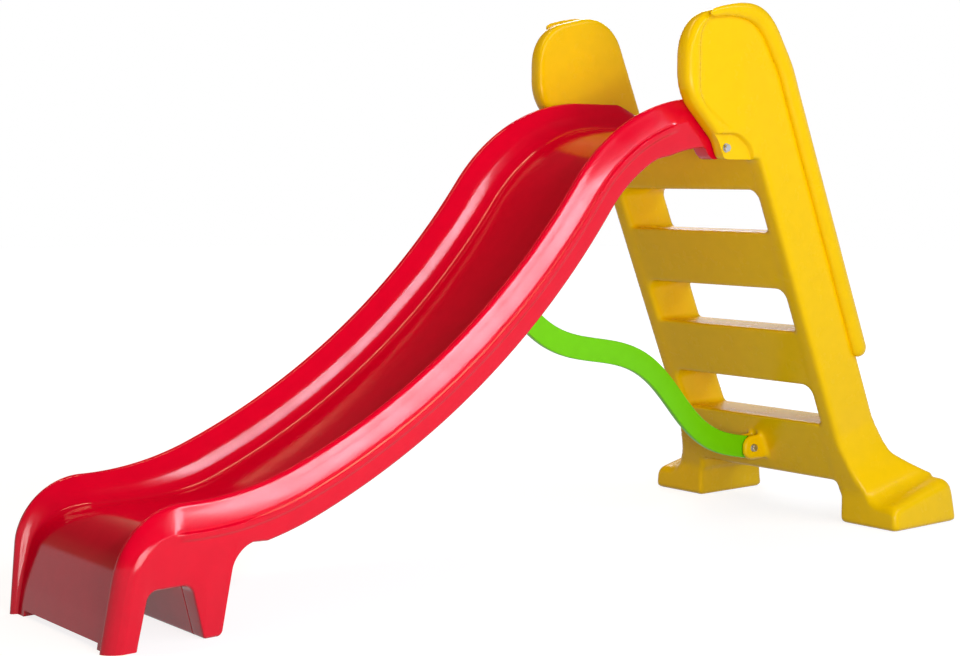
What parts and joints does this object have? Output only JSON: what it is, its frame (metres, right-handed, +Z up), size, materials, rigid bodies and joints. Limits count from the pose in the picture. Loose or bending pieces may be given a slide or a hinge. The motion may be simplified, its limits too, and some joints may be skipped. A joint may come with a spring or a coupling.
{
  "type": "folding kids slide",
  "caption": "Folding garden slide for small children: wavy chute, stepped ladder with side grips and a curved strut.",
  "frame": {"origin": "middle of the footprint, on the ground", "axes": "+X from the foot of the chute towards the ladder, +Y across, +Z up"},
  "size_m": [1.8723, 0.68, 1.041],
  "materials": {
    "red_plastic": "glossy rotomoulded polyethylene",
    "yellow_plastic": "glossy rotomoulded polyethylene",
    "green_plastic": "satin moulded polyethylene",
    "zinc_steel": "zinc plated"
  },
  "bodies": {
    "chute": {"chute": "red_plastic", "pivot_bolt_near": "zinc_steel", "pivot_head_washer_near": "zinc_steel", "pivot_nut_washer_near": "zinc_steel", "pivot_nut_near": "zinc_steel", "pivot_bolt_far": "zinc_steel", "pivot_head_washer_far": "zinc_steel", "pivot_nut_washer_far": "zinc_steel", "pivot_nut_far": "zinc_steel", "strut_chute_bolt": "zinc_steel", "strut_chute_head_washer": "zinc_steel", "strut_chute_nut_washer": "zinc_steel", "strut_chute_nut": "zinc_steel"},
    "ladder": {"ladder": "yellow_plastic", "strut_ladder_bolt": "zinc_steel", "strut_ladder_head_washer": "zinc_steel", "strut_ladder_nut_washer": "zinc_steel", "strut_ladder_nut": "zinc_steel"},
    "strut": {"strut": "green_plastic"}
  },
  "joints": [
    {"name": "ladder_fold", "type": "hinge", "parent": "chute", "child": "ladder", "pos_m": [0.34877, 0, 0.769], "axis": [0, 1, 0], "range_deg": [0, 66]},
    {"name": "strut_swing", "type": "hinge", "parent": "chute", "child": "strut", "pos_m": [-0.00123, 0, 0.49221], "axis": [0, 1, 0], "range_deg": [0, 102.3]}
  ],
  "couplings": [
    {"joint": "strut_swing", "follows": "ladder_fold", "ratio": 1.55}
  ]
}
